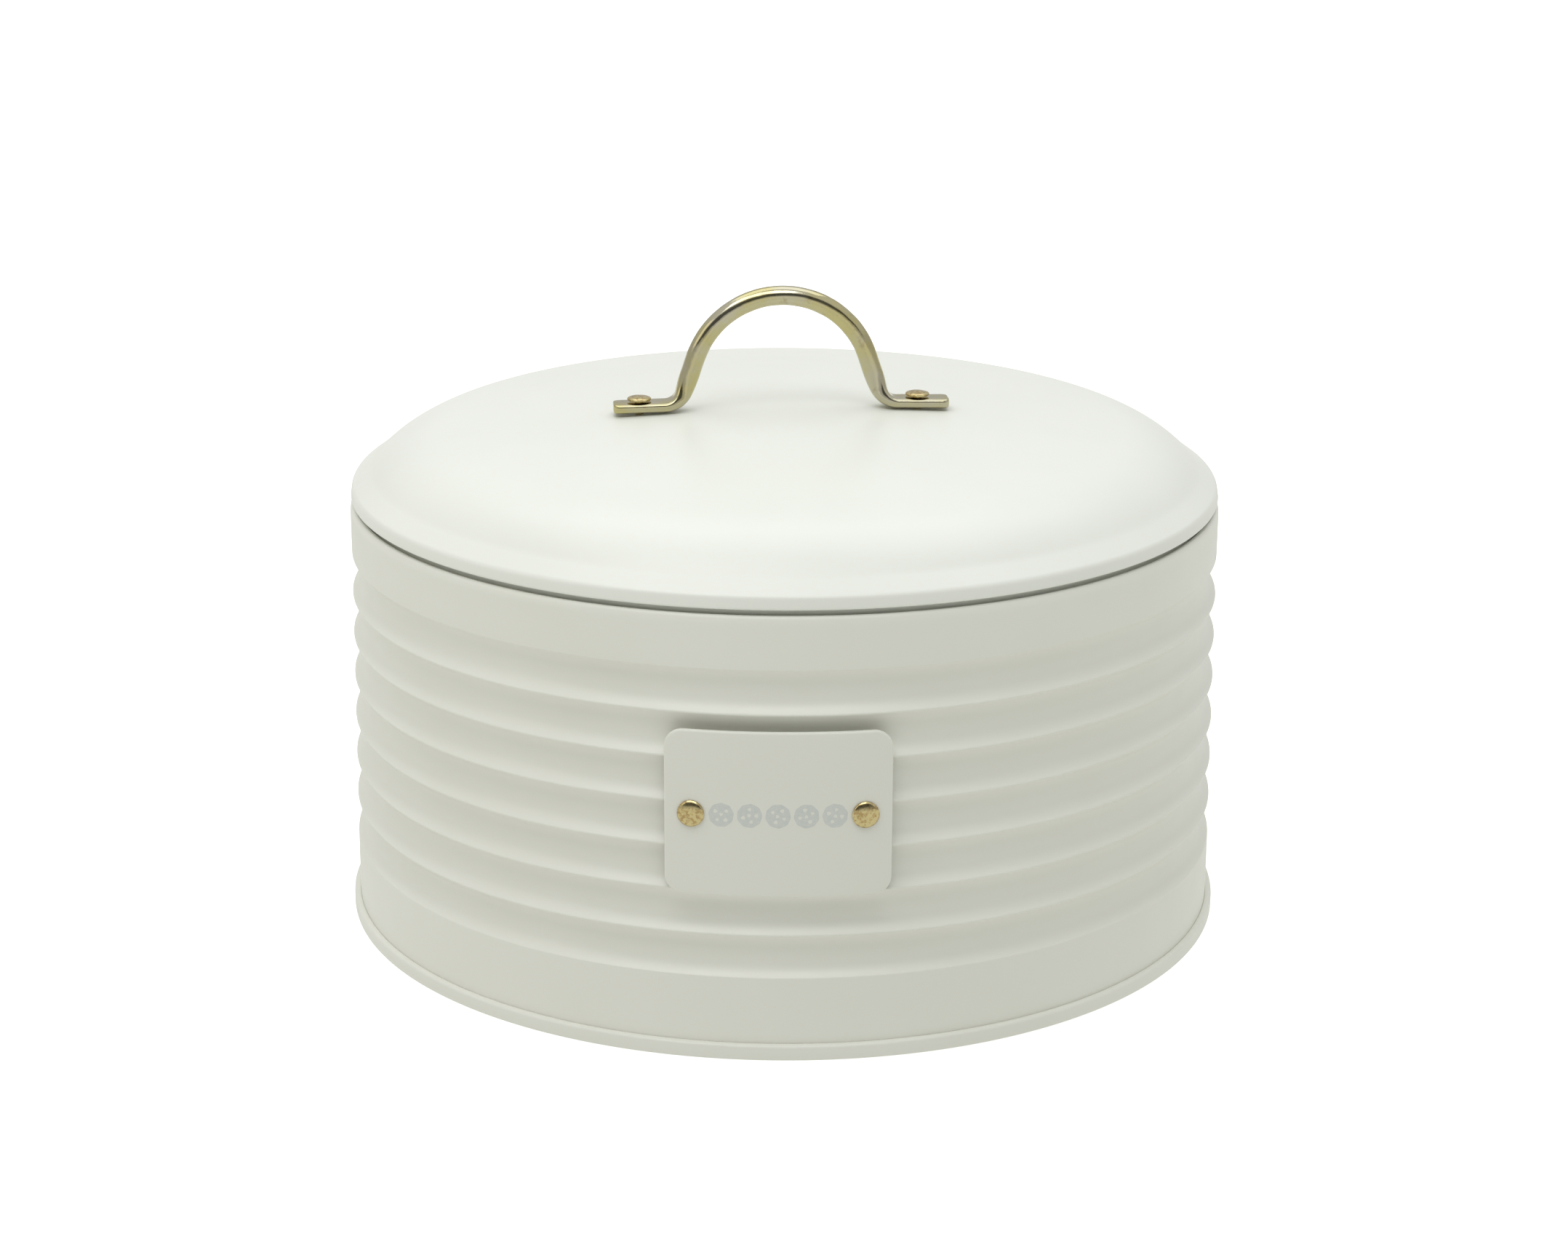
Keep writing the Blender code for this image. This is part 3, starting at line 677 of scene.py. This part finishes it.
def make_rivet(name, head, grip, matrix, body, brass):
    rivet = turned(name + "_set", rivet_loop(*head, grip), even_turn(SMALL_STEPS), False)
    seed = Vector((len(name) * RIVET_SEED[0], grip / MM, RIVET_SEED[1]))
    for vertex in rivet.data.vertices:
        vertex.co.z += noise.noise(vertex.co * RIVET_DENT_SCALE + seed) * RIVET_DENTS
    rivet.data.transform(matrix)
    return dress(rivet, brass, body, "rivet_brass", name)


def make_handle_fixings(brass, steel):
    foot_top = RIVET_HEAD_TOP - HEAD_RIM - HEAD_CROWN
    for side in ("left", "right"):
        node = "handle_rivet_" + side
        spot = middle_of(node)
        grip = foot_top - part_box(node)[0].z - TAIL_HEIGHT
        matrix = Matrix.Translation((spot.x, spot.y, foot_top))
        make_rivet(node, (HANDLE_HEAD_RADIUS, HANDLE_CROWN), grip, matrix, "lid", brass)
        hole = SHANK_RADIUS + WASHER_PLAY
        corners = [
            (hole, 0.0, 0.0),
            (WASHER_RADIUS, 0.0, WASHER_ROUNDS[0]),
            (WASHER_RADIUS, -WASHER_THICKNESS, WASHER_ROUNDS[1]),
            (hole, -WASHER_THICKNESS, WASHER_ROUNDS[0]),
        ]
        loop = rounded(corners, EDGE_STEPS)
        washer = turned("handle_washer_" + side + "_zinc", loop, even_turn(SMALL_STEPS))
        washer.data.transform(Matrix.Translation((spot.x, spot.y, WASHER_TOP)))
        dress(washer, steel, "lid", "washer_steel", "handle_washer_" + side)


def out_of_wall(azimuth, radius, height):
    """Frame at an azimuth from -Y whose Z axis points out of the tin."""
    out = Matrix.Translation((0.0, -radius, height))
    return Matrix.Rotation(azimuth, 4, "Z") @ out @ Matrix.Rotation(math.pi / 2.0, 4, "X")


def make_label_rivets(brass):
    for side in ("left", "right"):
        node = "label_rivet_" + side
        spot = middle_of(node)
        azimuth = math.atan2(spot.x, -spot.y)
        matrix = out_of_wall(azimuth, PLATE_SKIN, PLATE_MIDDLE)
        make_rivet(node, (LABEL_HEAD_RADIUS, LABEL_CROWN), LABEL_RIVET_GRIP, matrix, "body", brass)


# ---------------------------------------------------------------- label plate and its print

def on_plate(x, z, rise):
    """A spot on the plate's face, x across and z up from its middle, raised by rise."""
    azimuth = math.asin(x / PLATE_SKIN) + PLATE_TURN
    reach = PLATE_SKIN + rise
    return Vector((reach * math.sin(azimuth), -reach * math.cos(azimuth), z + PLATE_MIDDLE))


def rounded_rectangle(inset, steps):
    """Outline of the plate, moved in by an inset, as (x, z) points."""
    corner = PLATE_CORNER - inset
    wide = PLATE_WIDTH / 2.0 - inset - corner
    tall = (PLATE_TOP - PLATE_BOTTOM) / 2.0 - inset - corner
    points = []
    for right, up, start in ((1, 1, 0.0), (-1, 1, 90.0), (-1, -1, 180.0), (1, -1, 270.0)):
        points += arc((wide * right, tall * up), corner, start, start + 90.0, steps)
    spread = []
    for i, spot in enumerate(points):
        after = points[(i + 1) % len(points)]
        spread.append(spot)
        if (i + 1) % (steps + 1) == 0:
            for k in range(1, PLATE_SIDE_STEPS):
                share = k / PLATE_SIDE_STEPS
                x = spot[0] + (after[0] - spot[0]) * share
                z = spot[1] + (after[1] - spot[1]) * share
                spread.append((x, z))
    return spread


def make_label_plate(paint):
    shape = bmesh.new()
    rings = []
    levels = [(0.0, -PLATE_THICKNESS), (0.0, -PLATE_THICKNESS * PLATE_SIDE_SHARE)]
    for i in range(PLATE_ROLL_STEPS + 1):
        angle = i / PLATE_ROLL_STEPS * 90.0 * DEG
        levels.append((PLATE_ROLL * (1.0 - math.cos(angle)), PLATE_ROLL_DROP * (math.sin(angle) - 1.0)))
    for inset, rise in levels:
        outline = rounded_rectangle(inset, PLATE_CORNER_STEPS)
        rings.append([shape.verts.new(on_plate(x, z, rise)) for x, z in outline])
    inner = rounded_rectangle(PLATE_ROLL, PLATE_CORNER_STEPS)
    for i in range(1, PLATE_FILL_STEPS):
        share = 1.0 - i / PLATE_FILL_STEPS
        rings.append([shape.verts.new(on_plate(x * share, z * share, 0.0)) for x, z in inner])
    count = len(inner)
    for first, second in zip(rings, rings[1:]):
        for k in range(count):
            n = (k + 1) % count
            shape.faces.new((first[k], first[n], second[n], second[k]))
    centre = shape.verts.new(on_plate(0.0, 0.0, 0.0))
    for k in range(count):
        shape.faces.new((rings[-1][k], rings[-1][(k + 1) % count], centre))
    outer = rounded_rectangle(0.0, PLATE_CORNER_STEPS)
    back = [rings[0]]
    for i in range(1, PLATE_FILL_STEPS):
        share = 1.0 - i / PLATE_FILL_STEPS
        back.append([shape.verts.new(on_plate(x * share, z * share, -PLATE_THICKNESS)) for x, z in outer])
    for first, second in zip(back, back[1:]):
        for k in range(count):
            n = (k + 1) % count
            shape.faces.new((first[k], second[k], second[n], first[n]))
    centre = shape.verts.new(on_plate(0.0, 0.0, -PLATE_THICKNESS))
    for k in range(count):
        shape.faces.new((back[-1][k], centre, back[-1][(k + 1) % count]))
    plate = add_piece("label_plate_shell", shape, SHARP_SHEET)
    return dress(plate, paint, "body", "label_paint", "label_plate")


def ring_points(centre, radius, waves, depth, phase, count):
    points = []
    for i in range(count):
        turn = math.tau * i / count
        reach = radius * (1.0 + depth * math.sin(waves * turn + phase))
        points.append((centre[0] + reach * math.cos(turn), centre[1] + reach * math.sin(turn)))
    return points


def make_label_print(ink):
    """A row of plain cookies with chips, printed on the plate."""
    curve = bpy.data.curves.new("label_print", "CURVE")
    curve.dimensions = "2D"
    curve.fill_mode = "BOTH"
    curve.extrude = PRINT_RISE
    for i in range(PRINT_COOKIES):
        middle = ((i - (PRINT_COOKIES - 1) / 2.0) * PRINT_PITCH, 0.0)
        outlines = [ring_points(middle, PRINT_RADIUS, *COOKIE_WAVES, i * COOKIE_PHASE, COOKIE_STEPS)]
        turn = i * PRINT_TURN
        for across, up, size in PRINT_CHIPS:
            x = (across * math.cos(turn) - up * math.sin(turn)) * PRINT_RADIUS
            y = (across * math.sin(turn) + up * math.cos(turn)) * PRINT_RADIUS
            spot = (middle[0] + x, middle[1] + y)
            phase = i + across * CHIP_PHASE
            outlines.append(ring_points(spot, size * PRINT_RADIUS, *CHIP_WAVES, phase, CHIP_STEPS))
        for outline in outlines:
            spline = curve.splines.new("POLY")
            spline.points.add(len(outline) - 1)
            spline.use_cyclic_u = True
            for point, (x, y) in zip(spline.points, outline):
                point.co = (x, y, 0.0, 1.0)
    guide = bpy.data.objects.new("label_print", curve)
    bpy.context.scene.collection.objects.link(guide)
    made = bpy.data.meshes.new_from_object(guide.evaluated_get(bpy.context.evaluated_depsgraph_get()))
    bpy.data.objects.remove(guide)
    shape = bmesh.new()
    shape.from_mesh(made)
    bmesh.ops.remove_doubles(shape, verts=shape.verts, dist=WELD)
    reach = PRINT_PITCH * PRINT_COOKIES / 2.0
    cuts = int(2.0 * reach / PRINT_SLICE)
    for i in range(1, cuts):
        place = (-reach + 2.0 * reach * i / cuts, 0.0, 0.0)
        geometry = shape.verts[:] + shape.edges[:] + shape.faces[:]
        bmesh.ops.bisect_plane(shape, geom=geometry, plane_co=place, plane_no=(1.0, 0.0, 0.0))
    for vertex in shape.verts:
        vertex.co = on_plate(vertex.co.x, vertex.co.y, vertex.co.z)
    prints = add_piece("label_print", shape)
    return dress(prints, ink, "body", "label_paint")


# ---------------------------------------------------------------- materials

class Nodes:
    """A small helper that adds and links shader nodes in one material."""

    def __init__(self, name):
        self.material = bpy.data.materials.new(name)
        self.material.use_nodes = True
        self.tree = self.material.node_tree
        self.shader = self.tree.nodes["Principled BSDF"]

    def add(self, kind, inputs=None, **settings):
        node = self.tree.nodes.new(kind)
        for key, value in settings.items():
            setattr(node, key, value)
        for key, value in (inputs or {}).items():
            self.feed(node.inputs[key], value)
        return node

    def feed(self, socket, value):
        if isinstance(value, bpy.types.NodeSocket):
            self.tree.links.new(value, socket)
        else:
            socket.default_value = value

    def spots(self):
        return self.add("ShaderNodeTexCoord").outputs["Object"]

    def noise(self, scale, detail, roughness=0.5):
        inputs = {"Scale": scale, "Detail": detail, "Roughness": roughness, "Vector": self.spots()}
        return self.add("ShaderNodeTexNoise", inputs).outputs["Fac"]

    def span(self, value, low, high, to_low, to_high):
        inputs = {"Value": value, "From Min": low, "From Max": high, "To Min": to_low, "To Max": to_high}
        return self.add("ShaderNodeMapRange", inputs).outputs["Result"]

    def mix(self, share, first, second):
        node = self.add("ShaderNodeMix", data_type="RGBA")
        self.feed(node.inputs["Factor"], share)
        self.feed(node.inputs[6], first)
        self.feed(node.inputs[7], second)
        return node.outputs[2]

    def bump(self, height, strength, distance):
        inputs = {"Height": height, "Strength": strength, "Distance": distance}
        return self.add("ShaderNodeBump", inputs).outputs["Normal"]

    def set(self, **values):
        for key, value in values.items():
            self.feed(self.shader.inputs[key.replace("_", " ")], value)


def satin_paint(name, colour, deep, roughness):
    """Baked enamel over sheet steel: faint mottling and a fine orange peel."""
    n = Nodes(name)
    cloudy = n.span(n.noise(26.0, 3.0), 0.35, 0.65, 0.0, 1.0)
    grainy = n.span(n.noise(700.0, 2.0), 0.3, 0.7, 0.0, 0.25)
    base = n.mix(cloudy, colour, deep)
    n.set(
        Base_Color=n.mix(grainy, base, deep),
        Roughness=n.span(n.noise(120.0, 4.0), 0.3, 0.7, roughness - 0.03, roughness + 0.04),
        Normal=n.bump(n.noise(430.0, 2.0), 0.25, 0.00003),
    )
    n.shader.inputs["IOR"].default_value = 1.5
    return n.material


def yellow_zinc():
    """Yellow-passivated zinc plate: olive gold, clouded with grey that is partly bare zinc and partly a
    painted reflection of the dim grey studio above and behind, with a few brown stains.
    """
    n = Nodes("yellow_zinc")
    # Grey clouds: partly bare zinc, partly a painted reflection of the dim grey studio behind.
    grey_and_reflection_share = n.span(n.noise(75.0, 4.0, 0.55), 0.42, 0.60, 0.0, 1.0)
    stain = n.span(n.noise(240.0, 5.0, 0.6), 0.60, 0.74, 0.0, 0.6)
    base = n.mix(grey_and_reflection_share, ZINC_OLIVE, ZINC_GREY_AND_REFLECTION)
    n.set(
        Base_Color=n.mix(stain, base, ZINC_STAIN),
        Roughness=n.span(n.noise(300.0, 4.0, 0.6), 0.3, 0.7, 0.07, 0.18),
        Normal=n.bump(n.noise(600.0, 3.0, 0.55), 0.3, 0.00005),
    )
    n.shader.inputs["Metallic"].default_value = 1.0
    return n.material


def aged_brass():
    """Brass rivets, olive with age, with thin brown mottles."""
    n = Nodes("aged_brass")
    mottle = n.span(n.noise(1100.0, 6.0, 0.65), 0.47, 0.60, 0.0, 0.85)
    n.set(
        Base_Color=n.mix(mottle, BRASS_OLIVE, BRASS_BROWN),
        Roughness=n.span(n.noise(900.0, 4.0), 0.3, 0.7, 0.13, 0.28),
        Normal=n.bump(n.noise(800.0, 4.0, 0.6), 0.4, 0.00006),
    )
    n.shader.inputs["Metallic"].default_value = 1.0
    return n.material


def bright_zinc():
    """Bright zinc plate with fine crystals, on the washers."""
    n = Nodes("bright_zinc")
    crystal = n.add("ShaderNodeTexVoronoi", {"Scale": 900.0, "Vector": n.spots()}).outputs["Distance"]
    shade = n.span(crystal, 0.0, 1.0, 0.0, 1.0)
    n.set(
        Base_Color=n.mix(shade, STEEL_PALE, STEEL_GREY),
        Roughness=n.span(n.noise(800.0, 3.0), 0.3, 0.7, 0.28, 0.42),
        Normal=n.bump(n.noise(1200.0, 3.0), 0.3, 0.00004),
    )
    n.shader.inputs["Metallic"].default_value = 1.0
    return n.material


def printing_ink():
    """Pale grey ink, a little worn."""
    n = Nodes("label_ink")
    wear = n.span(n.noise(1500.0, 4.0, 0.6), 0.35, 0.7, 0.0, 1.0)
    n.set(
        Base_Color=n.mix(wear, INK_FULL, INK_WORN),
        Roughness=n.span(n.noise(700.0, 3.0), 0.3, 0.7, 0.42, 0.52),
        Normal=n.bump(n.noise(2500.0, 2.0), 0.2, 0.00002),
    )
    return n.material


# ---------------------------------------------------------------- camera, floor and light

def add_camera():
    data = bpy.data.cameras.new("camera")
    data.lens = LENS
    data.sensor_width = SENSOR
    data.clip_start = CLIP_NEAR
    data.clip_end = CLIP_FAR
    forward = Vector((0.0, math.cos(CAMERA_DROP), -math.sin(CAMERA_DROP)))
    right = forward.cross(Vector((0.0, 0.0, 1.0))).normalized()
    up = right.cross(forward)
    across = right * math.cos(CAMERA_ROLL) + up * math.sin(CAMERA_ROLL)
    above = up * math.cos(CAMERA_ROLL) - right * math.sin(CAMERA_ROLL)
    camera = bpy.data.objects.new("camera", data)
    turn = Matrix((across, above, -forward)).transposed().to_4x4()
    camera.matrix_world = Matrix.Translation(CAMERA_PLACE) @ turn
    bpy.context.scene.collection.objects.link(camera)
    bpy.context.scene.camera = camera


def add_floor():
    shape = bmesh.new()
    bmesh.ops.create_grid(shape, x_segments=4, y_segments=4, size=FLOOR_SIZE)
    floor = add_piece("floor", shape)
    n = Nodes("floor_white")
    tone = n.mix(n.noise(3.0, 2.0), *FLOOR_TONES)
    n.set(Base_Color=tone, Emission_Color=(1.0, 1.0, 1.0, 1.0))
    n.shader.inputs["Roughness"].default_value = FLOOR_ROUGHNESS
    n.shader.inputs["Specular IOR Level"].default_value = 0.0
    n.shader.inputs["Emission Strength"].default_value = FLOOR_GLOW
    floor.data.materials.append(n.material)
    floor.visible_diffuse = False
    floor.visible_glossy = False


def add_sky():
    """A pale studio around the tin, with a dim patch in front of it, above the horizon."""
    world = bpy.data.worlds.new("studio")
    bpy.context.scene.world = world
    world.use_nodes = True
    tree = world.node_tree
    spots = tree.nodes.new("ShaderNodeTexCoord")
    split = tree.nodes.new("ShaderNodeSeparateXYZ")
    tree.links.new(spots.outputs["Generated"], split.inputs[0])

    def span(source, low, high, to_low=0.0, to_high=1.0):
        node = tree.nodes.new("ShaderNodeMapRange")
        node.interpolation_type = "SMOOTHSTEP"
        for key, value in zip(("From Min", "From Max", "To Min", "To Max"), (low, high, to_low, to_high)):
            node.inputs[key].default_value = value
        tree.links.new(source, node.inputs["Value"])
        return node.outputs["Result"]

    def times(first, second):
        node = tree.nodes.new("ShaderNodeMath")
        node.operation = "MULTIPLY"
        tree.links.new(first, node.inputs[0])
        tree.links.new(second, node.inputs[1])
        return node.outputs[0]

    height = tree.nodes.new("ShaderNodeMapRange")
    height.inputs["From Min"].default_value = -1.0
    tree.links.new(split.outputs["Z"], height.inputs["Value"])
    ramp = tree.nodes.new("ShaderNodeValToRGB")
    tree.links.new(height.outputs["Result"], ramp.inputs["Fac"])
    while len(ramp.color_ramp.elements) < len(SKY_STOPS):
        ramp.color_ramp.elements.new(0.5)
    for element, (place, colour) in zip(ramp.color_ramp.elements, SKY_STOPS):
        element.position = place
        element.color = (*colour, 1.0)
    front = span(split.outputs["Y"], *FRONT_EDGE)
    raised = times(span(split.outputs["Z"], *FRONT_FOOT), span(split.outputs["Z"], *FRONT_HEAD))
    strength = span(times(front, raised), 0.0, 1.0, SKY_STRENGTH, SKY_STRENGTH * (1.0 - FRONT_DIM))
    background = tree.nodes["Background"]
    tree.links.new(ramp.outputs["Color"], background.inputs["Color"])
    tree.links.new(strength, background.inputs["Strength"])


def add_softbox(name, place, size, power, tint):
    data = bpy.data.lights.new(name, "AREA")
    data.shape = "RECTANGLE"
    data.size, data.size_y = size
    data.energy = power
    data.color = tint
    lamp = bpy.data.objects.new(name, data)
    lamp.location = place
    lamp.rotation_mode = "QUATERNION"
    lamp.rotation_quaternion = (Vector(LAMP_TARGET) - Vector(place)).to_track_quat("-Z", "Y")
    bpy.context.scene.collection.objects.link(lamp)


def add_lights():
    for name, place, size, power, tint in LAMPS:
        add_softbox(name, place, size, power, tint)


# ---------------------------------------------------------------- everything together

def build():
    body_paint = satin_paint("painted_body", *BODY_PAINT, BODY_ROUGHNESS)
    # The lid's paint carries some painted light from above, being lighter and cooler than the body's.
    lid_paint_and_top_light = satin_paint("painted_lid", *LID_PAINT_AND_TOP_LIGHT, LID_ROUGHNESS)
    plate_paint = satin_paint("label_paint", *PLATE_PAINT, PLATE_ROUGHNESS)
    zinc = yellow_zinc()
    brass = aged_brass()
    make_wall(body_paint)
    make_base(body_paint)
    make_dome(lid_paint_and_top_light)
    make_plug_ring(lid_paint_and_top_light)
    make_handle(zinc)
    make_handle_fixings(brass, bright_zinc())
    make_label_plate(plate_paint)
    make_label_rivets(brass)
    make_label_print(printing_ink())
    add_camera()
    add_floor()
    add_sky()
    add_lights()
    bpy.context.scene.view_settings.view_transform = "Standard"


build()
